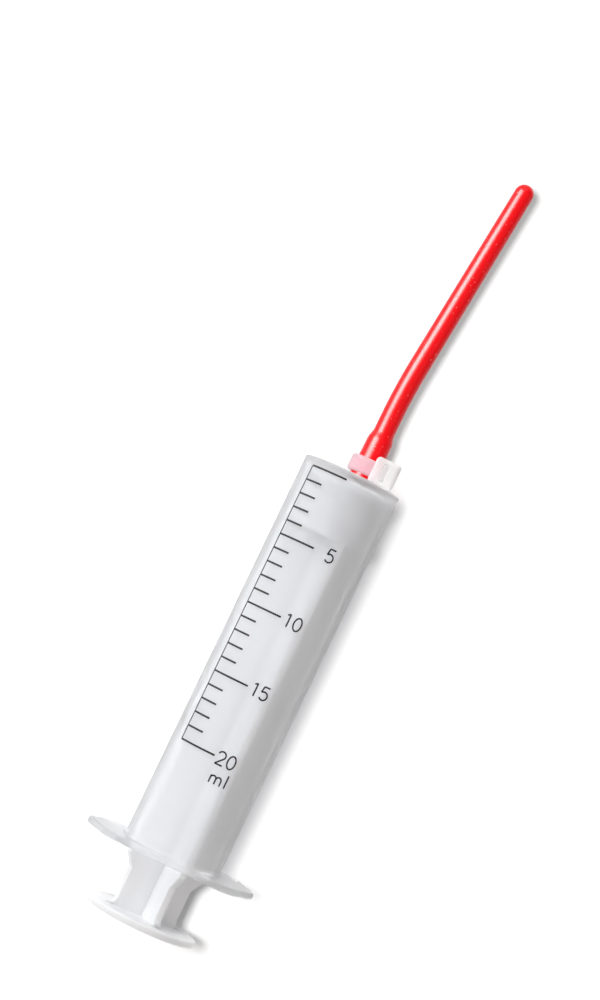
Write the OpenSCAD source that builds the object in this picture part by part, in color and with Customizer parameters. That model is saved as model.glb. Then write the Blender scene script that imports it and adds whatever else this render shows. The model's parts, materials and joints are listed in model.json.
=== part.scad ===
// Feeding syringe: barrel, plunger, rubber feeding tube and the tie that holds it.
// It lies on a surface, nozzle towards +Y, finger ears along X. Sizes in millimetres.

/* [Barrel] */
// Outside diameter of the barrel
barrel_od = 22; // [19:0.1:28]
// Wall thickness of the barrel
barrel_wall = 1.05; // [0.8:0.05:1.5]
// Length from the open end to the front face
barrel_length = 91; // [80:0.5:120]
// Thickness of the front wall
front_wall = 1.6; // [1.2:0.1:2.5]
// Radius of the rounded shoulder round the front wall
shoulder_r = 0.5; // [0.3:0.1:1.5]
// Height of the inner bead that stops the piston from being pulled out
bead_height = 0.2; // [0.1:0.05:0.3]
// Distance from the open end to the bead
bead_setback = 8.3; // [5:0.1:12]
// Depth of the lead-in at the open end
lead_in = 0.4; // [0.2:0.1:0.6]

/* [Finger flange] */
// Reach of each ear beyond the barrel's wall
ear_reach = 8.4; // [6:0.1:12]
// Radius that rounds an ear's end and its corners
ear_nose_r = 14.5; // [13:0.5:18]
// How far past the barrel's wall the flange's straight and slanted sides would meet
ear_straight = 3.35; // [2:0.05:5]
// How much of an ear's pointed end is rounded off
ear_blunting = 0.2; // [0.05:0.05:0.5]
// How far the flange's straight sides stand out from the barrel's wall
flange_rim = 1.6; // [1:0.1:2]
// Thickness of the flange
flange_thickness = 1.6; // [1.2:0.1:2.4]
// Rounding of the flange's edges
flange_edge_r = 0.5; // [0.2:0.05:0.55]
// Fillet between the flange and the barrel
flange_root_r = 1; // [0.4:0.1:1]

/* [Nozzle] */
// Length of the nozzle in front of the front face
nozzle_length = 9.4; // [8:0.1:12]
// Outside diameter at the nozzle's tip
nozzle_tip_d = 3.95; // [3.9:0.01:4]
// Growth in diameter per millimetre of length
nozzle_taper = 0.06; // [0.05:0.005:0.07]
// Diameter of the channel through the nozzle
nozzle_bore = 2; // [1.2:0.1:2.4]
// Flat margin between the nozzle's root and the shoulder
nozzle_margin = 2.94; // [0.5:0.02:4]
// Turn of the nozzle's offset away from straight down
nozzle_turn = 22.7; // [0:0.1:45]

/* [Piston] */
// Gap between a sealing lip and the bore, on the radius
seal_clearance = 0.04; // [0.02:0.01:0.08]
// Gap between the piston and the front wall when pushed in
end_gap = 0.3; // [0.2:0.1:1]
// Length of the piston over both lips
piston_length = 12.7; // [9:0.1:18]
// Width of the front lip
front_lip = 1.8; // [1:0.1:2.5]
// Length of the cone behind the front lip
lip_cone = 2.4; // [1:0.1:4]
// Width of the rear lip
rear_lip = 1.5; // [1:0.1:2.5]
// Depth of the waist between the lips
waist_depth = 1.6; // [0.8:0.1:2.5]
// Rounding of the lips' edges
lip_edge_r = 0.4; // [0.2:0.05:0.45]

/* [Plunger rod] */
// Gap between the ribs and the stop bead, on the radius
rib_clearance = 0.35; // [0.3:0.05:1]
// Thickness of the crossed ribs
rib_thickness = 1.6; // [1.2:0.1:2.4]
// Turn of the crossed ribs about the axis
rib_turn = 26; // [0:1:90]
// How far the neck behind the flange steps in from the ribs
neck_step = 1.9; // [0.5:0.1:3]
// Length of the slope between the ribs and the neck
neck_slope = 2.8; // [1:0.1:4]
// Length of full-width rib that shows behind the open end when pushed in
rib_overrun = 1.5; // [0.5:0.1:3]
// Fillet between the neck and the thumb press
neck_root_r = 2; // [0.5:0.1:3]

/* [Thumb press] */
// How far the thumb press stands out from the barrel's wall
thumb_rim = 1.7; // [1:0.1:4]
// Thickness of the thumb press
thumb_thickness = 1.65; // [1.2:0.05:2.5]
// Rounding of the thumb press's rim
thumb_edge_r = 0.6; // [0.2:0.05:0.6]
// Gap between the flange and the thumb press when pushed in
thumb_gap = 12.9; // [9:0.1:20]
// Number of grip grooves in the thumb face
groove_count = 3; // [1:1:4]
// Spacing of the grip grooves
groove_pitch = 2; // [1.5:0.1:2.2]
// Depth of the grip grooves
groove_depth = 0.25; // [0.1:0.05:0.4]

/* [Feeding tube] */
// Outside diameter near the nozzle
tube_root_d = 4.7; // [4.3:0.05:6]
// Outside diameter at the round tip
tube_tip_d = 4.35; // [4:0.05:5.5]
// Diameter of the tube's bore
tube_bore = 2.3; // [1.6:0.1:2.8]
// Length over which the stretched end narrows in front of the nozzle
tube_narrowing = 2.6; // [1.5:0.1:4]
// Length of straight tube from the front face to the bend
tube_straight = 15; // [14.5:0.5:25]
// Radius of the tube's gentle bend
tube_bend_r = 130; // [60:5:300]
// Angle of the tube's gentle bend
tube_bend = 5.7; // [1:0.1:8]
// Length of tube from the bend to the round tip
tube_reach = 46.6; // [25:0.1:60]
// Thickness of rubber that closes the round tip
tip_wall = 1.6; // [1:0.1:3]
// Diameter of the outlet eye on the tube's underside
eye_d = 1.8; // [1:0.1:2]
// Distance from the round tip to the middle of the eye
eye_setback = 8; // [6:0.5:15]

/* [Cable tie] */
// Width of the strap
strap_width = 3.6; // [2.5:0.1:4.8]
// Thickness of the strap
strap_thickness = 1.15; // [0.9:0.05:1.4]
// Bevel along the strap's outer edges
strap_bevel = 0.4; // [0.1:0.05:0.5]
// Length of the head along the strap
head_length = 5.7; // [5.4:0.1:7]
// Width of the head across the strap
head_width = 6; // [5.5:0.1:7]
// Height of the head
head_height = 4.4; // [3.5:0.1:5.5]
// Rounding of the head's corners
head_corner_r = 0.9; // [0.3:0.1:1.2]
// How far the head's near end stands from the tube's middle
head_start = 1; // [0.5:0.1:1.4]
// Gap between the front face and the head
head_gap = 0.3; // [0.2:0.1:1]
// Gap round the tail in the head's slot
slot_play = 0.1; // [0.1:0.05:0.3]
// Length of cut tail that stands out of the head
tail_stub = 0.1; // [0.1:0.1:3]
// Length of the pawl in the slot
pawl_length = 1.8; // [1:0.1:3]
// Width of the pawl in the slot
pawl_width = 1.8; // [1:0.1:2.4]

/* [Hidden] */
$fn = 96;

// A cut goes this far past the face that it opens
cut_past = 1;
// The tube's free end starts this far inside the bend, and thinner by the step, so that the two fuse
splice = 0.3;
splice_step = 0.02;
// Steps in the curve where the stretched rubber narrows
narrowing_steps = 8;

barrel_r = barrel_od / 2;
bore_r = barrel_r - barrel_wall;
bead_r = barrel_wall / 2;
bore_depth = barrel_length - front_wall;

ear_tip = barrel_r + ear_reach;
ear_point = ear_tip + ear_blunting;
flange_half_depth = barrel_r + flange_rim;
// The slanted sides: the angle of their normals from the ears' line, and their distance from the axis
slant = atan2(ear_point - barrel_r - ear_straight, flange_half_depth);
slant_distance = ear_point * cos(slant);
root_fillet = min(flange_root_r, flange_rim - flange_edge_r);

nozzle_root_d = nozzle_tip_d + nozzle_taper * nozzle_length;
nozzle_offset = barrel_r - shoulder_r - nozzle_root_d / 2 - nozzle_margin;

seal_r = bore_r - seal_clearance;
waist_r = seal_r - waist_depth;
piston_front = bore_depth - end_gap;
piston_back = piston_front - piston_length;

rib_r = bore_r - bead_height - rib_clearance;
neck_r = rib_r - neck_step;
neck_top = -rib_overrun - neck_slope;
thumb_r = barrel_r + thumb_rim;

// The strap's middle and the rubber under it, measured from the front face
strap_middle = head_gap + head_width / 2;
socket_root_r = socket_radius(nozzle_root_d);
socket_tip_r = socket_radius(nozzle_tip_d);
strap_seat_r = socket_radius(nozzle_tip_d + nozzle_taper * (nozzle_length - strap_middle));
strap_outer_r = strap_seat_r + strap_thickness;

// The whole syringe is centred along Y and stands on its lowest round
tube_tip_z = barrel_length + tube_straight + tube_bend_r * sin(tube_bend) + tube_reach * cos(tube_bend)
    + tube_tip_d / 2 * (1 - cos(tube_bend));
thumb_back_z = -thumb_gap - thumb_thickness;
middle_z = (tube_tip_z + thumb_back_z) / 2;
axis_height = max(thumb_r, flange_half_depth);

// Rubber keeps its cross-section when it is stretched over a round of diameter d
function socket_radius(d) = sqrt(tube_root_d * tube_root_d - tube_bore * tube_bore + d * d) / 2;

// Lays the syringe, modelled upright on its open end, down along Y
module lie_down() {
    translate([0, -middle_z, axis_height]) rotate([-90, 0, 0]) children();
}

// Moves to the nozzle's root, off centre on the front face
module at_nozzle() {
    translate([nozzle_offset * sin(nozzle_turn), nozzle_offset * cos(nozzle_turn), barrel_length])
        children();
}

// Moves to the end of the tube's bend
module at_bend_end() {
    translate([tube_bend_r * (1 - cos(tube_bend)), 0, tube_straight + tube_bend_r * sin(tube_bend)])
        rotate([0, tube_bend, 0]) children();
}

// Rectangle with four rounded corners, centred
module rounded_rectangle(size, r) {
    square([size[0] - 2 * r, size[1]], center = true);
    square([size[0], size[1] - 2 * r], center = true);
    for (x = [-1, 1], y = [-1, 1])
        translate([x * (size[0] / 2 - r), y * (size[1] / 2 - r)]) circle(r);
}

// Half section of a disc with rounded edges, standing on Z = 0
module disc_section(r, thickness, edge_r) {
    square([r - edge_r, thickness]);
    translate([0, edge_r]) square([r, thickness - 2 * edge_r]);
    for (z = [edge_r, thickness - edge_r])
        translate([r - edge_r, z]) circle(edge_r);
}

// Outside corner fillet of radius r at the origin, filling the +X +Y quarter
module fillet_section(r) {
    difference() {
        square(r);
        translate([r, r]) circle(r);
    }
}

// Bar along X with rounded edges, as thick as the flange and as long as its ears reach
module flange_bar(half_width) {
    rotate([90, 0, 90]) translate([0, flange_thickness / 2, -ear_tip])
        linear_extrude(2 * ear_tip)
            rounded_rectangle([2 * half_width, flange_thickness], flange_edge_r);
}

// Long six-sided plate, rounded at the corners, whose blunt points are the finger ears
module finger_flange() {
    intersection() {
        flange_bar(flange_half_depth);
        rotate([0, 0, 90 - slant]) flange_bar(slant_distance);
        rotate([0, 0, slant - 90]) flange_bar(slant_distance);
        for (side = [-1, 1])
            translate([side * (ear_tip - ear_nose_r), 0, 0])
                rotate_extrude() disc_section(ear_nose_r, flange_thickness, flange_edge_r);
    }
}

module barrel_solid() {
    rotate_extrude() {
        square([barrel_r, barrel_length - shoulder_r]);
        square([barrel_r - shoulder_r, barrel_length]);
        translate([barrel_r - shoulder_r, barrel_length - shoulder_r]) circle(shoulder_r);
        translate([barrel_r, flange_thickness]) fillet_section(root_fillet);
    }
    finger_flange();
    at_nozzle() {
        cylinder(h = nozzle_length, d1 = nozzle_root_d, d2 = nozzle_tip_d);
        translate([0, 0, -front_wall / 2]) cylinder(h = front_wall / 2, d = nozzle_root_d);
    }
}

module barrel() {
    color([0.86, 0.89, 0.92, 0.6]) lie_down() {
        difference() {
            barrel_solid();
            translate([0, 0, -cut_past]) cylinder(h = bore_depth + cut_past, r = bore_r);
            cylinder(h = 2 * lead_in, r1 = bore_r + lead_in, r2 = bore_r);
            at_nozzle() translate([0, 0, -front_wall - cut_past])
                cylinder(h = nozzle_length + front_wall + 2 * cut_past, d = nozzle_bore);
        }
        rotate_extrude() translate([bore_r + bead_r - bead_height, bead_setback]) circle(bead_r);
    }
}

module piston() {
    rotate_extrude() {
        translate([0, piston_back]) square([waist_r, piston_length]);
        translate([0, piston_front - front_lip]) disc_section(seal_r, front_lip, lip_edge_r);
        translate([0, piston_back]) disc_section(seal_r, rear_lip, lip_edge_r);
        translate([0, piston_front - front_lip]) polygon([
            [0, lip_edge_r], [seal_r - lip_edge_r, lip_edge_r], [seal_r - lip_edge_r, 0],
            [waist_r, -lip_cone], [0, -lip_cone]
        ]);
    }
}

// Side view of one rib, from the thumb press into the piston
module rib_outline() {
    for (side = [0, 1]) mirror([side, 0]) {
        polygon([
            [0, -thumb_gap - thumb_thickness / 2], [neck_r, -thumb_gap - thumb_thickness / 2],
            [neck_r, neck_top], [rib_r, -rib_overrun],
            [rib_r, piston_back + rear_lip / 2], [0, piston_back + rear_lip / 2]
        ]);
        translate([neck_r, -thumb_gap]) fillet_section(neck_root_r);
    }
}

module thumb_press() {
    translate([0, 0, thumb_back_z]) difference() {
        rotate_extrude() disc_section(thumb_r, thumb_thickness, thumb_edge_r);
        for (i = [1:groove_count])
            rotate_extrude() translate([thumb_r - thumb_edge_r - i * groove_pitch, 0]) circle(groove_depth);
    }
}

module plunger() {
    color([0.93, 0.94, 0.95]) lie_down() {
        piston();
        thumb_press();
        for (turn = [0, 90]) rotate([0, 0, rib_turn + turn])
            rotate([90, 0, 0]) linear_extrude(rib_thickness, center = true) rib_outline();
    }
}

// Straight end of the tube, stretched over the nozzle and narrowing in front of it
module tube_socket() {
    difference() {
        rotate_extrude() polygon(concat(
            [[0, 0], [socket_root_r, 0], [socket_tip_r, nozzle_length]],
            [for (i = [1:narrowing_steps]) let (share = i / narrowing_steps) [
                tube_root_d / 2 + (socket_tip_r - tube_root_d / 2) * (1 + cos(180 * share)) / 2,
                nozzle_length + tube_narrowing * share
            ]],
            [[tube_root_d / 2, tube_straight], [0, tube_straight]]
        ));
        cylinder(h = nozzle_length, d1 = nozzle_root_d, d2 = nozzle_tip_d);
        translate([0, 0, nozzle_length]) cylinder(h = tube_narrowing, d1 = nozzle_tip_d, d2 = tube_bore);
        translate([0, 0, nozzle_length + tube_narrowing])
            cylinder(h = tube_straight - nozzle_length - tube_narrowing + cut_past, d = tube_bore);
    }
}

module tube_curve() {
    translate([tube_bend_r, 0, tube_straight]) mirror([1, 0, 0]) rotate([90, 0, 0])
        rotate_extrude(angle = tube_bend) translate([tube_bend_r, 0]) difference() {
            circle(d = tube_root_d);
            circle(d = tube_bore);
        }
}

// Tapered free end with its closed round tip and the outlet eye underneath
module tube_end() {
    dome_z = tube_reach - tube_tip_d / 2;
    difference() {
        union() {
            translate([0, 0, -splice])
                cylinder(h = dome_z + splice, d1 = tube_root_d - 2 * splice_step, d2 = tube_tip_d);
            translate([0, 0, dome_z]) sphere(d = tube_tip_d);
        }
        translate([0, 0, -cut_past])
            cylinder(h = tube_reach - tip_wall + cut_past, d = tube_bore + 2 * splice_step);
        translate([0, 0, tube_reach - eye_setback]) rotate([-90, 0, 0])
            cylinder(h = tube_root_d, d = eye_d);
    }
}

module feeding_tube() {
    color([0.9, 0.02, 0.04]) lie_down() at_nozzle() {
        tube_socket();
        tube_curve();
        at_bend_end() tube_end();
    }
}

// Section of the strap: x outwards from its inner face, y across its width
module strap_section() {
    half = strap_width / 2;
    polygon([
        [0, -half], [strap_thickness - strap_bevel, -half], [strap_thickness, strap_bevel - half],
        [strap_thickness, half - strap_bevel], [strap_thickness - strap_bevel, half], [0, half]
    ]);
}

// Block with all its edges rounded, one corner at the origin
module rounded_block(size, r) {
    translate(size / 2) intersection() {
        linear_extrude(size[2], center = true) rounded_rectangle([size[0], size[1]], r);
        rotate([90, 0, 0]) linear_extrude(size[1], center = true) rounded_rectangle([size[0], size[2]], r);
        rotate([90, 0, 90]) linear_extrude(size[0], center = true) rounded_rectangle([size[1], size[2]], r);
    }
}

// Head on top of the tube, with the slot that the tail comes up through
module tie_head() {
    top = -strap_seat_r - head_height;
    slot_width = strap_width + 2 * slot_play;
    difference() {
        translate([head_start, top, -head_width / 2])
            rounded_block([head_length, head_height, head_width], head_corner_r);
        translate([strap_seat_r - slot_play, top - cut_past, -slot_width / 2])
            cube([strap_thickness + 2 * slot_play, head_height + 2 * cut_past, slot_width]);
    }
}

// Strap from the head over the top, round the tube and up into the slot
module tie_strap() {
    tail_length = strap_seat_r + head_height + tail_stub;
    rotate_extrude(angle = 270) translate([strap_seat_r, 0]) strap_section();
    rotate([90, 0, 0]) linear_extrude(tail_length) translate([strap_seat_r, 0]) strap_section();
    rotate([0, 0, -90]) rotate([-90, 0, 0]) linear_extrude(head_start + head_corner_r)
        translate([strap_seat_r, 0]) strap_section();
}

// Pawl in the middle of the slot, reaching from the head's far wall into the tail's teeth
module tie_pawl() {
    translate([strap_outer_r - slot_play, -strap_seat_r - (head_height + pawl_length) / 2, -pawl_width / 2])
        cube([3 * slot_play, pawl_length, pawl_width]);
}

module cable_tie() {
    color([0.93, 0.92, 0.9]) lie_down() at_nozzle() difference() {
        translate([0, 0, strap_middle]) {
            tie_head();
            tie_strap();
            tie_pawl();
        }
        cylinder(h = nozzle_length, r1 = socket_root_r, r2 = socket_tip_r);
    }
}

barrel();
plunger();
feeding_tube();
cable_tie();
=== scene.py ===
import json
from math import ceil, cos, dist, pi, radians, sin

import bpy
from mathutils import Matrix, Vector


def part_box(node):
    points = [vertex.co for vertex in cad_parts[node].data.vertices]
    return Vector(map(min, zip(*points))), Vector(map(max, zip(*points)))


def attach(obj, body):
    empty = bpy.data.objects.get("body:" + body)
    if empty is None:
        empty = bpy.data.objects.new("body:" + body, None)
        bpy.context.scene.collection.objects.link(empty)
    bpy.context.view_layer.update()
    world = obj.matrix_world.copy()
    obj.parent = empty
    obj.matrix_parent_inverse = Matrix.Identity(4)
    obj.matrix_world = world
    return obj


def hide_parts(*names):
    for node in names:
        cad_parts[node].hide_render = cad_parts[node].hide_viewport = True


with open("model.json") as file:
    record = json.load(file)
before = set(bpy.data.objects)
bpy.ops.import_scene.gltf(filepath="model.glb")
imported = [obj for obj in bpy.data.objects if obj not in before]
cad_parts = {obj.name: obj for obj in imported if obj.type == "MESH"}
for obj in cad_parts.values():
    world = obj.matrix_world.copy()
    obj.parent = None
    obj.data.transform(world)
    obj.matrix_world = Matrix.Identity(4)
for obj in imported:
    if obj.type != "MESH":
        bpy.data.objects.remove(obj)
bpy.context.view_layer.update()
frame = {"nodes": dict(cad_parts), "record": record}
mm = 0.001

# Places that the frame gives: the barrel's axis and wall, its front face and the nozzle
grip = next(mount for mount in frame["record"]["mounts"] if mount["name"] == "barrel_grip")
barrelRadius = grip["dims"]["r_mm"] * mm
axisHeight = grip["pos_m"][2]
tubeLow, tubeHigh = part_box("feeding_tube")
socketRadius = (tubeHigh.z - tubeLow.z) / 2
nozzleRoot = Vector((tubeLow.x + socketRadius, tubeLow.y, (tubeLow.z + tubeHigh.z) / 2))
frontFace = tubeLow.y
print("frame loaded: nozzle root at", [round(x / mm, 3) for x in nozzleRoot])


def clearSelection():
    if bpy.context.object and bpy.context.object.mode != "OBJECT":
        bpy.ops.object.mode_set(mode="OBJECT")
    bpy.ops.object.select_all(action="DESELECT")


def makeActive(piece):
    clearSelection()
    piece.select_set(True)
    bpy.context.view_layer.objects.active = piece


def dress(piece, material):
    piece.data.materials.clear()
    piece.data.materials.append(material)


# Short ways to lay shader nodes

def feed(tree, socket, given):
    # A socket is given another node's output, a colour or a plain value
    if isinstance(given, bpy.types.NodeSocket):
        tree.links.new(given, socket)
    elif socket.type == "RGBA":
        socket.default_value = (*given, 1)
    else:
        socket.default_value = given


def addNode(tree, kind, given=None, **settings):
    node = tree.nodes.new("ShaderNode" + kind)
    for name, value in settings.items():
        setattr(node, name, value)
    for name, value in (given or {}).items():
        feed(tree, node.inputs[name], value)
    return node


def addMath(tree, operation, first, second):
    return addNode(tree, "Math", {0: first, 1: second}, operation=operation).outputs[0]


def addRange(tree, value, fromEnds=(0, 1), toEnds=(0, 1)):
    ends = {"From Min": fromEnds[0], "From Max": fromEnds[1], "To Min": toEnds[0], "To Max": toEnds[1]}
    return addNode(tree, "MapRange", {"Value": value, **ends}).outputs["Result"]


def addLength(tree, vector):
    return addNode(tree, "VectorMath", {0: vector}, operation="LENGTH").outputs["Value"]


def addNoise(tree, place, scale, detail):
    return addNode(tree, "TexNoise", {"Vector": place, "Scale": scale, "Detail": detail}).outputs["Fac"]


def addPlace(tree):
    return addNode(tree, "TexCoord").outputs["Object"]


def mixColours(tree, share, first, second, blend="MIX"):
    given = {"Factor": share, "A": first, "B": second}
    return addNode(tree, "Mix", given, data_type="RGBA", blend_type=blend).outputs["Result"]


def mixShaders(tree, share, first, second):
    return addNode(tree, "MixShader", {0: share, 1: first, 2: second}).outputs[0]


def pathShare(tree, rays):
    # 1 for rays of these kinds that have met nothing matt on their way, else 0
    path = addNode(tree, "LightPath").outputs
    share = path[rays[0]]
    for ray in rays[1:]:
        share = addMath(tree, "MAXIMUM", share, path[ray])
    unbounced = addRange(tree, path["Diffuse Depth"], toEnds=(1, 0))
    return addMath(tree, "MULTIPLY", share, unbounced)


# Camera at the photograph's viewing angle, lamps, sky and floor

cameraSetup = {
    "place": (-0.0029, -0.02132, 0.54945),
    "turns": (2.925, 0.551, 25.61),  # degrees about X, Y and Z, the last one turned first
    "lens": 90.09,
    "seesFrom": 0.01,
}


def setCamera():
    turnX, turnY, turnZ = (
        Matrix.Rotation(radians(angle), 3, axis) for angle, axis in zip(cameraSetup["turns"], "XYZ"))
    facing = turnX @ turnY @ turnZ
    clearSelection()
    bpy.ops.object.camera_add(location=cameraSetup["place"], rotation=facing.to_euler())
    camera = bpy.context.object
    camera.name = "photoCamera"
    camera.data.lens = cameraSetup["lens"]
    camera.data.clip_start = cameraSetup["seesFrom"]
    bpy.context.scene.camera = camera


# Each lamp lights the object, one piece of it alone, or the floor alone
lampSetup = {
    "keyLamp": {
        "lights": "object", "from": (-0.68, 0.24, 0.47), "size": (0.40, 0.60),
        "watts": 4.0, "colour": (0.98, 0.99, 1.0),
    },
    "warmLamp": {
        "lights": "object", "from": (0.45, -0.10, 0.60), "size": (0.6, 0.6),
        "watts": 0.8, "colour": (1.0, 0.90, 0.84),
    },
    "frontLamp": {
        "lights": "object", "from": (-0.05, 0.66, 0.36), "size": (0.4, 0.4),
        "watts": 1.3, "colour": (1.0, 0.99, 0.985),
    },
    "rearLamp": {
        "lights": "object", "from": (-0.10, -0.75, 0.06), "size": (0.4, 0.4),
        "watts": 1.5, "colour": (1.0, 0.96, 0.94),
    },
    # Small and close to the barrel's front wall, to lift its rim
    "rimLamp": {
        "lights": "barrel", "from": (0.010, 0.038, 0.020), "size": (0.012, 0.012),
        "watts": 0.003, "colour": (1.0, 0.97, 0.97), "shiny": False,
    },
    # The tube's highlights alone, then its red without them
    "glintLamp": {
        "lights": "tube", "from": (-0.62, 0.24, 0.60), "size": (0.45, 0.60),
        "watts": 42, "colour": (1.0, 0.98, 0.97), "matt": False,
    },
    "tubeLamp": {
        "lights": "tube", "from": (-0.28, 0.10, 0.74), "size": (0.3, 0.3),
        "watts": 3.2, "colour": (1.0, 1.0, 1.0), "shiny": False,
    },
    # Nearly overhead, so that the shadow keeps close to the object
    "floorLamp": {
        "lights": "floor", "from": (-0.165, -0.03, 0.80), "size": (0.17, 0.17),
        "watts": 4.6, "colour": (1.0, 0.995, 0.99),
    },
}


def setLamps():
    aim = Vector((0, 0, axisHeight))
    for name, lamp in lampSetup.items():
        place = Vector(lamp["from"])
        clearSelection()
        bpy.ops.object.light_add(type="AREA", location=place)
        light = bpy.context.object
        light.name = name
        light.rotation_euler = (aim - place).to_track_quat("-Z", "Y").to_euler()
        light.data.shape = "RECTANGLE"
        light.data.size, light.data.size_y = lamp["size"]
        light.data.energy = lamp["watts"]
        light.data.color = lamp["colour"]
        light.visible_camera = False
        light.visible_diffuse = lamp.get("matt", True)
        light.visible_glossy = lamp.get("shiny", True)


def linkLamps(part, piece, state):
    # The lamps of this part light the piece alone, or all but the piece
    lit = bpy.data.collections.new(part + "Lit")
    lit.objects.link(piece)
    lit.collection_objects[0].light_linking.link_state = state
    for name, lamp in lampSetup.items():
        if lamp["lights"] == part:
            bpy.data.objects[name].light_linking.receiver_collection = lit


skySetup = {
    "fill": (0.38, 0.47, 0.18),  # strength on the left, overhead and on the right
    "colour": (1.0, 0.985, 0.975),
    "inShine": 0.3,  # how strongly shiny surfaces show the fill
    "shown": (1.0, 1.0, 1.0),
    "whiteUpTo": (0.25, 0.5),  # heights between which the white that is seen gives way to the fill
}


def setSky():
    sky = bpy.data.worlds.new("studioSky")
    bpy.context.scene.world = sky
    sky.use_nodes = True
    tree = sky.node_tree
    tree.nodes.clear()
    facing = addNode(tree, "TexCoord").outputs["Generated"]
    axes = addNode(tree, "SeparateXYZ", {0: facing}).outputs
    across = addNode(tree, "ValToRGB", {"Fac": addRange(tree, axes["X"], (-1, 1))})
    across.color_ramp.elements.new(0.5)
    for stop, strength in zip(across.color_ramp.elements, skySetup["fill"]):
        stop.color = (*(strength * part for part in skySetup["colour"]), 1)
    inShine = addRange(tree, pathShare(tree, ["Is Glossy Ray"]), toEnds=(1, skySetup["inShine"]))
    fill = addNode(tree, "Background", {"Color": across.outputs["Color"], "Strength": inShine})
    shown = addNode(tree, "Background", {"Color": skySetup["shown"]})
    low = addRange(tree, axes["Z"], skySetup["whiteUpTo"], (1, 0))
    seen = pathShare(tree, ["Is Camera Ray", "Is Glossy Ray", "Is Transmission Ray"])
    white = addMath(tree, "MULTIPLY", low, seen)
    either = mixShaders(tree, white, fill.outputs[0], shown.outputs[0])
    addNode(tree, "OutputWorld", {"Surface": either})


floorSetup = {
    "size": 4.0,
    "bounced": (0.55, 0.55, 0.55),  # for light that the floor gives back to the object
    "mirrored": (1.4, 1.4, 1.4),  # in reflections and through clear walls
    "shown": (1.1, 2.6),  # to the camera, close by and far off, where the lamp is weaker
    "farOff": (0.16, 0.9),
}


def layFloor():
    clearSelection()
    bpy.ops.mesh.primitive_plane_add(size=floorSetup["size"], location=(0, 0, 0))
    floor = bpy.context.object
    floor.name = "paleFloor"
    paper = bpy.data.materials.new("palePaper")
    paper.use_nodes = True
    tree = paper.node_tree
    tree.nodes.clear()
    pale = addRange(tree, addLength(tree, addPlace(tree)), floorSetup["farOff"], floorSetup["shown"])
    bounced, mirrored, shown = (
        addNode(tree, "BsdfDiffuse", {"Color": tone}).outputs[0]
        for tone in (floorSetup["bounced"], floorSetup["mirrored"], pale))
    reflected = pathShare(tree, ["Is Glossy Ray", "Is Transmission Ray"])
    surface = mixShaders(tree, reflected, bounced, mirrored)
    surface = mixShaders(tree, pathShare(tree, ["Is Camera Ray"]), surface, shown)
    addNode(tree, "OutputMaterial", {"Surface": surface})
    dress(floor, paper)
    linkLamps("floor", floor, "INCLUDE")
    linkLamps("object", floor, "EXCLUDE")


bpy.context.scene.view_settings.view_transform = "Standard"
setCamera()
setLamps()
setSky()
layFloor()
print("camera, lamps, sky and floor set")


# Finishes

surfaceSetup = {
    "streakShape": (1, 0.1, 1),  # drawn out along the barrel
    "mouldedDetail": 1,
    "noiseSpan": (0.3, 0.7),  # most of a noise lies between these
    "reliefHeight": 0.1 * mm,
}


def newMaterial(name):
    material = bpy.data.materials.new(name)
    material.use_nodes = True
    return material, material.node_tree, material.node_tree.nodes["Principled BSDF"]


def roughen(tree, shader, look, gloss, relief):
    # Roughness follows one pattern, the fine relief another
    roughness = addRange(tree, gloss, surfaceSetup["noiseSpan"], look["roughness"])
    feed(tree, shader.inputs["Roughness"], roughness)
    given = {"Strength": look["bump"], "Distance": surfaceSetup["reliefHeight"], "Height": relief}
    feed(tree, shader.inputs["Normal"], addNode(tree, "Bump", given).outputs["Normal"])


def mouldedGroup():
    # Long flow streaks and fine grain of injection-moulded plastic
    group = bpy.data.node_groups.new("mouldedSurface", "ShaderNodeTree")
    for name, side in (("Streak Scale", "INPUT"), ("Grain Scale", "INPUT"),
                       ("Streaks", "OUTPUT"), ("Grain", "OUTPUT")):
        group.interface.new_socket(name, in_out=side, socket_type="NodeSocketFloat")
    given = group.nodes.new("NodeGroupInput").outputs
    out = group.nodes.new("NodeGroupOutput").inputs
    place = addPlace(group)
    along = addNode(group, "Mapping", {"Vector": place, "Scale": surfaceSetup["streakShape"]})
    detail = surfaceSetup["mouldedDetail"]
    streaks = addNoise(group, along.outputs["Vector"], given["Streak Scale"], detail)
    grain = addNoise(group, place, given["Grain Scale"], detail)
    feed(group, out["Streaks"], streaks)
    feed(group, out["Grain"], grain)
    return group


moulded = mouldedGroup()


def paintLightNear(tree, colour, look):
    # Paints shade, or light that shows through, into the plastic's colour close to a place, measured only
    # along the axes that look["along"] names
    given = {"Vector": addPlace(tree), "Location": look["near"]}
    apart = addNode(tree, "Mapping", given, vector_type="TEXTURE").outputs["Vector"]
    along = addNode(tree, "VectorMath", {0: apart, 1: look["along"]}, operation="MULTIPLY")
    away = addLength(tree, along.outputs["Vector"])
    share = addRange(tree, away, (look["within"], look["fadesBy"]), (1, 0))
    return mixColours(tree, share, colour, look["colour"], "MULTIPLY")


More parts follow.
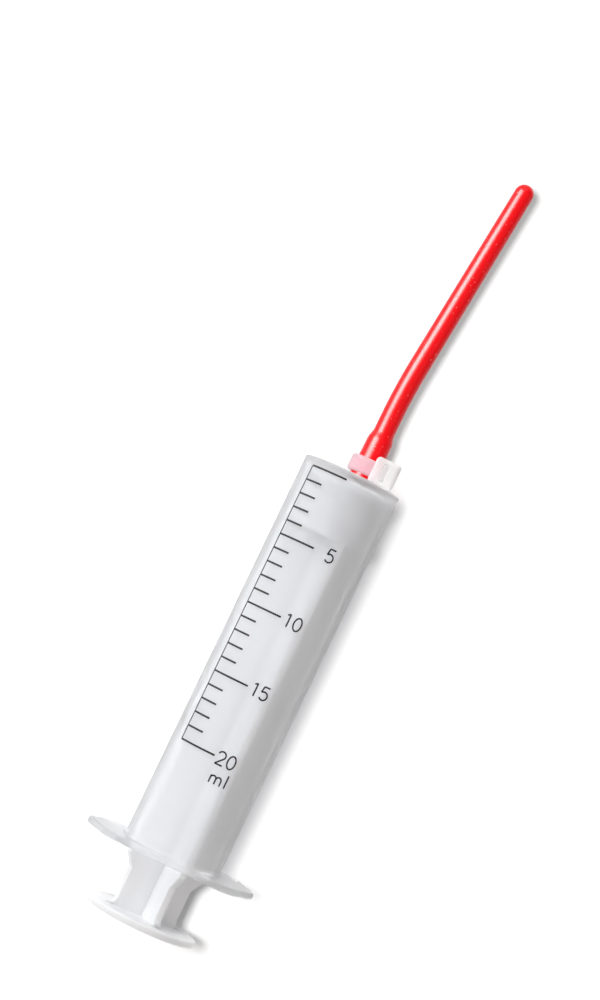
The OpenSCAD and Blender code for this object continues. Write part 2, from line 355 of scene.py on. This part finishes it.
def mouldedFinish(name, look):
    material, tree, shader = newMaterial(name)
    scales = {"Streak Scale": look["streakScale"], "Grain Scale": look["grainScale"]}
    surface = addNode(tree, "Group", scales, node_tree=moulded).outputs
    colour = mixColours(tree, surface["Streaks"], look["dark"], look["light"])
    # Painted shade on the piston and painted red light on the strap, close to a place
    if "paintedLightTint" in look:
        colour = paintLightNear(tree, colour, look["paintedLightTint"])
    feed(tree, shader.inputs["Base Color"], colour)
    roughen(tree, shader, look, surface["Streaks"], surface["Grain"])
    shader.inputs["IOR"].default_value = look["ior"]
    shader.inputs["Specular IOR Level"].default_value = look["shine"]
    shader.inputs["Transmission Weight"].default_value = look["clear"]
    shader.inputs["Subsurface Weight"].default_value = look["milky"]
    shader.inputs["Subsurface Radius"].default_value = (1, 1, 1)
    shader.inputs["Subsurface Scale"].default_value = look["milkDepth"]
    if "letsLampsIn" in look:
        # Light from the lamps reaches what lies behind the clear wall
        shadowRay = addNode(tree, "LightPath").outputs["Is Shadow Ray"]
        passed = addNode(tree, "BsdfTransparent", {"Color": look["letsLampsIn"]})
        either = mixShaders(tree, shadowRay, shader.outputs[0], passed.outputs[0])
        feed(tree, tree.nodes["Material Output"].inputs["Surface"], either)
    return material


barrelPlastic = {
    "dark": (0.89, 0.90, 0.915), "light": (0.92, 0.927, 0.94), "streakScale": 90,
    "roughness": (0.32, 0.40), "shine": 0.3, "bump": 0.005, "grainScale": 900,
    "clear": 0.7, "ior": 1.12, "milky": 1.0, "milkDepth": 1.5 * mm,
    "letsLampsIn": (0.75, 0.755, 0.765),
}
plungerPlastic = {
    "dark": (0.84, 0.85, 0.87), "light": (0.93, 0.935, 0.945), "streakScale": 260,
    "roughness": (0.32, 0.48), "shine": 0.4, "bump": 0.06, "grainScale": 2200,
    "clear": 0.0, "ior": 1.51, "milky": 0.8, "milkDepth": 1.6 * mm,
    # Painted shade: the thin-walled hollow piston, deep inside the barrel, is painted darker than the
    # rest of the plunger
    "paintedLightTint": {
        "colour": (0.76, 0.76, 0.77), "near": (0, frontFace, 0), "along": (0, 1, 0),
        "within": 14 * mm, "fadesBy": 15.5 * mm,
    },
}
tieNylon = {
    "dark": (0.95, 0.945, 0.94), "light": (0.985, 0.98, 0.975), "streakScale": 500,
    "roughness": (0.36, 0.5), "shine": 0.4, "bump": 0.04, "grainScale": 3500,
    "clear": 0.25, "ior": 1.3, "milky": 1.0, "milkDepth": 1.0 * mm,
    "letsLampsIn": (0.95, 0.945, 0.94),
    # Painted light: the rubber's red that shows through the strap lying on the tube is painted into the
    # strap's colour as pink
    "paintedLightTint": {
        "colour": (1.0, 0.66, 0.72), "near": nozzleRoot, "along": (1, 0, 1),
        "within": 4.2 * mm, "fadesBy": 4.7 * mm,
    },
}
rubber = {
    "dark": (0.70, 0.0, 0.002), "light": (0.79, 0.0, 0.005), "patchScale": 180, "patchDetail": 5,
    "roughness": (0.285, 0.34), "shine": 0.2, "bump": 0.10, "speckScale": 2400, "speckDetail": 2,
    "paleSpeckColour": (1.0, 0.42, 0.40), "paleSpecksAbove": (0.70, 0.76),  # pale specks where the grain is highest
}
ink = {
    "dark": (0.006, 0.004, 0.005), "light": (0.022, 0.017, 0.019), "patchScale": 1500, "patchDetail": 4,
    "roughness": 0.55,
}


def rubberFinish():
    material, tree, shader = newMaterial("redRubber")
    place = addPlace(tree)
    patches = addNoise(tree, place, rubber["patchScale"], rubber["patchDetail"])
    specks = addNoise(tree, place, rubber["speckScale"], rubber["speckDetail"])
    colour = mixColours(tree, patches, rubber["dark"], rubber["light"])
    paleSpeckShare = addRange(tree, specks, rubber["paleSpecksAbove"])
    feed(tree, shader.inputs["Base Color"], mixColours(tree, paleSpeckShare, colour, rubber["paleSpeckColour"]))
    roughen(tree, shader, rubber, specks, specks)
    shader.inputs["Specular IOR Level"].default_value = rubber["shine"]
    return material


def inkFinish():
    material, tree, shader = newMaterial("scaleInk")
    patches = addNoise(tree, addPlace(tree), ink["patchScale"], ink["patchDetail"])
    feed(tree, shader.inputs["Base Color"], mixColours(tree, patches, ink["dark"], ink["light"]))
    shader.inputs["Roughness"].default_value = ink["roughness"]
    return material


dress(frame["nodes"]["barrel"], mouldedFinish("milkyBarrelPlastic", barrelPlastic))
dress(frame["nodes"]["plunger"], mouldedFinish("whitePlungerPlastic", plungerPlastic))
dress(frame["nodes"]["cable_tie"], mouldedFinish("naturalNylon", tieNylon))
linkLamps("barrel", frame["nodes"]["barrel"], "INCLUDE")
print("barrel, plunger and tie finished")


# Feeding tube, stretched over the nozzle, with its gentle bend and round closed tip; sizes in mm

tube = {
    "nozzleLength": 9.4, "nozzleRoot": 4.514, "nozzleTip": 3.95,
    "rootWidth": 4.7, "tipWidth": 4.35, "bore": 2.3,
    "narrowing": 2.6, "straight": 15.0, "bendRadius": 130.0, "bendAngle": 5.7, "reach": 46.6,
    "tipWall": 1.6, "eyeWidth": 1.8, "eyeBack": 8.0, "boreOverrun": 1.0,
    # How finely it is drawn
    "sides": 48, "eyeSides": 32, "narrowingRings": 8, "bendRings": 8, "taperRings": 6,
    "domeStep": 10, "smoothBelow": 40, "mergeWithin": 1e-4,
}


def stretchedRadius(width):
    # Rubber keeps its cross-section when it is stretched over a round of this width
    return (tube["rootWidth"] ** 2 - tube["bore"] ** 2 + width ** 2) ** 0.5 / 2


def sweep(name, start, before, after):
    # One round drawn along the tube: rings before the bend and after it, as (distance, radius) in mm
    clearSelection()
    at, radius = start
    here = nozzleRoot + Vector((0, at, 0)) * mm
    bpy.ops.mesh.primitive_circle_add(vertices=tube["sides"], radius=radius * mm, fill_type="NGON",
                                      location=here, rotation=(-pi / 2, 0, 0))
    piece = bpy.context.object
    piece.name = name
    bpy.ops.object.transform_apply(location=True, rotation=True, scale=True)
    bpy.ops.object.mode_set(mode="EDIT")
    bpy.ops.mesh.select_all(action="SELECT")
    way = Vector((0, 1, 0))

    def extrudeTo(distance, newRadius):
        nonlocal here, at, radius
        step = way * (distance - at) * mm
        bpy.ops.mesh.extrude_region_move(TRANSFORM_OT_translate={"value": step})
        here = here + step
        share = newRadius / radius
        bpy.ops.transform.resize(value=(share, share, share), center_override=here)
        at, radius = distance, newRadius

    for distance, newRadius in before:
        extrudeTo(distance, newRadius)
    turn = radians(tube["bendAngle"])
    pivot = here + Vector((tube["bendRadius"] * mm, 0, 0))
    bpy.ops.mesh.spin(steps=tube["bendRings"], angle=turn, center=pivot, axis=(0, 0, 1))
    way = Vector((sin(turn), cos(turn), 0))
    here = pivot + Matrix.Rotation(-turn, 3, "Z") @ (here - pivot)
    at = 0
    for distance, newRadius in after:
        extrudeTo(distance, newRadius)
    bpy.ops.mesh.select_all(action="SELECT")
    bpy.ops.mesh.remove_doubles(threshold=tube["mergeWithin"] * mm)
    bpy.ops.mesh.normals_make_consistent(inside=False)
    bpy.ops.object.mode_set(mode="OBJECT")
    return piece, here, way


def cutAway(piece, cutter):
    makeActive(piece)
    cut = piece.modifiers.new("cut", "BOOLEAN")
    cut.operation = "DIFFERENCE"
    cut.solver = "EXACT"
    cut.object = cutter
    bpy.ops.object.modifier_apply(modifier=cut.name)
    bpy.data.objects.remove(cutter)


def drawBody():
    rootRadius, tipRadius = tube["rootWidth"] / 2, tube["tipWidth"] / 2
    mouth, neck = stretchedRadius(tube["nozzleRoot"]), stretchedRadius(tube["nozzleTip"])
    rings = tube["narrowingRings"]
    narrowing = [(tube["nozzleLength"] + tube["narrowing"] * i / rings,
                  rootRadius + (neck - rootRadius) * (1 + cos(pi * i / rings)) / 2)
                 for i in range(rings + 1)]
    domeStart = tube["reach"] - tipRadius
    rings = tube["taperRings"]
    taper = [(domeStart * i / rings, rootRadius + (tipRadius - rootRadius) * i / rings)
             for i in range(1, rings + 1)]
    dome = [(domeStart + tipRadius * sin(radians(angle)), tipRadius * cos(radians(angle)))
            for angle in range(tube["domeStep"], 90, tube["domeStep"])]
    body, end, way = sweep("feedingTube", (0, mouth), narrowing + [(tube["straight"], rootRadius)],
                           taper + dome)
    eyePlace = end + way * (tube["reach"] - tube["eyeBack"] - dome[-1][0]) * mm
    return body, eyePlace


def drawBore():
    rootRadius, tipRadius, boreRadius = (tube[key] / 2 for key in ("nozzleRoot", "nozzleTip", "bore"))
    before = [(0, rootRadius), (tube["nozzleLength"], tipRadius),
              (tube["nozzleLength"] + tube["narrowing"], boreRadius), (tube["straight"], boreRadius)]
    after = [(tube["reach"] - tube["tipWall"], boreRadius)]
    return sweep("tubeBore", (-tube["boreOverrun"], rootRadius), before, after)[0]


def drawEye(eyePlace):
    # The outlet eye opens on the underside
    depth = tube["rootWidth"] * mm
    middle = eyePlace - Vector((0, 0, depth / 2))
    clearSelection()
    bpy.ops.mesh.primitive_cylinder_add(vertices=tube["eyeSides"], radius=tube["eyeWidth"] / 2 * mm,
                                        depth=depth, location=middle)
    return bpy.context.object


def makeTube():
    body, eyePlace = drawBody()
    bore = drawBore()
    eye = drawEye(eyePlace)
    cutAway(body, bore)
    cutAway(body, eye)
    makeActive(body)
    bpy.ops.object.shade_smooth_by_angle(angle=radians(tube["smoothBelow"]))
    dress(body, rubberFinish())
    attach(body, "barrel")
    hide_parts("feeding_tube")
    linkLamps("tube", body, "INCLUDE")
    body.visible_diffuse = False  # keeps the red off the floor
    print("feeding tube modelled:", len(body.data.polygons), "faces")


makeTube()


# Printed scale: marks, numbers and unit as thin strokes of ink that follow the barrel's wall; sizes in mm

scalePrint = {
    "firstMark": 2.0,  # behind the front face
    "markStep": 3.202,  # for each millilitre
    "marks": 20,
    "longEvery": 5,
    "spine": -10.1,  # round the wall from its uppermost line
    "shortEnd": -5.5,
    "longEnd": -0.95,
    "markWidth": 0.40,
    "spineWidth": 0.36,
    "letterWidth": 0.34,
    "letterHeight": 2.87,
    "unitBase": 71.6,  # behind the front face
    "inkFlat": 0.12,  # height of a stroke for its width
    "strokeStep": 0.4,  # short enough to follow the round wall
    "roundness": 2,
    "smoothBelow": 50,
    "closedWithin": 1e-6,
}


def arc(centre, radii, start, end, steps=20):
    angles = [radians(start + (end - start) * i / steps) for i in range(steps + 1)]
    return [(centre[0] + radii[0] * cos(a), centre[1] + radii[1] * sin(a)) for a in angles]


# Each letter is a few pen strokes, from its lower left corner
letters = {
    "0": [arc((0.875, 1.435), (0.875, 1.435), 0, 360, 32)],
    "1": [[(0, 2.5), (0.62, 2.87)], [(0.62, 2.87), (0.62, 0)]],
    "2": [arc((0.83, 2.04), (0.83, 0.83), 164, -40) + [(0, 0)], [(0, 0), (1.7, 0)]],
    "5": [[(1.53, 2.87), (0.22, 2.87)], [(0.22, 2.87), (0, 1.5)],
          arc((0.68, 0.9), (0.9, 0.9), 135, -144)],
    "m": [[(0, 1.72), (0, 0)], arc((0.61, 1.11), (0.61, 0.61), 180, 0) + [(1.22, 0)],
          arc((1.83, 1.11), (0.61, 0.61), 180, 0) + [(2.44, 0)]],
    "l": [[(0, 2.87), (0, 0)]],
}
# Letters with their left edges, round the wall from its uppermost line
labels = {
    5: [("5", 2.2)],
    10: [("1", 0.23), ("0", 2.085)],
    15: [("1", 0.25), ("5", 2.2)],
    20: [("2", -0.31), ("0", 2.085)],
}
unit = [("m", 0.2), ("l", 3.75)]


def addStroke(curve, points, width):
    closed = len(points) > 2 and dist(points[0], points[-1]) < scalePrint["closedWithin"]
    path = [points[0]]
    for start, end in zip(points, points[1:]):
        count = max(1, ceil(dist(start, end) / scalePrint["strokeStep"]))
        path += [(start[0] + (end[0] - start[0]) * i / count, start[1] + (end[1] - start[1]) * i / count)
                 for i in range(1, count + 1)]
    points = path[:-1] if closed else path
    line = curve.splines.new("POLY")
    line.points.add(len(points) - 1)
    line.use_cyclic_u = closed
    for point, (across, along) in zip(line.points, points):
        point.co = (across * mm, along * mm, 0, 1)
        point.radius = width / 2 * mm


def addWord(curve, word, base):
    for letter, left in word:
        for stroke in letters[letter]:
            addStroke(curve, [(left + x, y - base) for x, y in stroke], scalePrint["letterWidth"])


def printScale():
    p = scalePrint
    curve = bpy.data.curves.new("scalePrint", "CURVE")
    curve.dimensions = "3D"
    curve.bevel_depth = 1.0  # each point's radius gives the stroke its width
    curve.bevel_resolution = p["roundness"]
    curve.use_fill_caps = True
    last = p["firstMark"] + p["marks"] * p["markStep"]
    addStroke(curve, [(p["spine"], -p["firstMark"]), (p["spine"], -last)], p["spineWidth"])
    for mark in range(p["marks"] + 1):
        behind = p["firstMark"] + mark * p["markStep"]
        end = p["shortEnd"] if mark % p["longEvery"] else p["longEnd"]
        addStroke(curve, [(p["spine"], -behind), (end, -behind)], p["markWidth"])
        if mark in labels:
            addWord(curve, labels[mark], behind + p["letterHeight"] / 2)
    addWord(curve, unit, p["unitBase"])
    marks = bpy.data.objects.new("scalePrint", curve)
    bpy.context.scene.collection.objects.link(marks)
    makeActive(marks)
    bpy.ops.object.convert(target="MESH")
    marks = bpy.context.object
    for vertex in marks.data.vertices:
        across, along, up = vertex.co
        angle = across / barrelRadius
        out = barrelRadius + up * p["inkFlat"]
        vertex.co = (out * sin(angle), frontFace + along, axisHeight + out * cos(angle))
    bpy.ops.object.shade_smooth_by_angle(angle=radians(p["smoothBelow"]))
    dress(marks, inkFinish())
    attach(marks, "barrel")
    print("scale printed:", len(marks.data.polygons), "faces")


printScale()
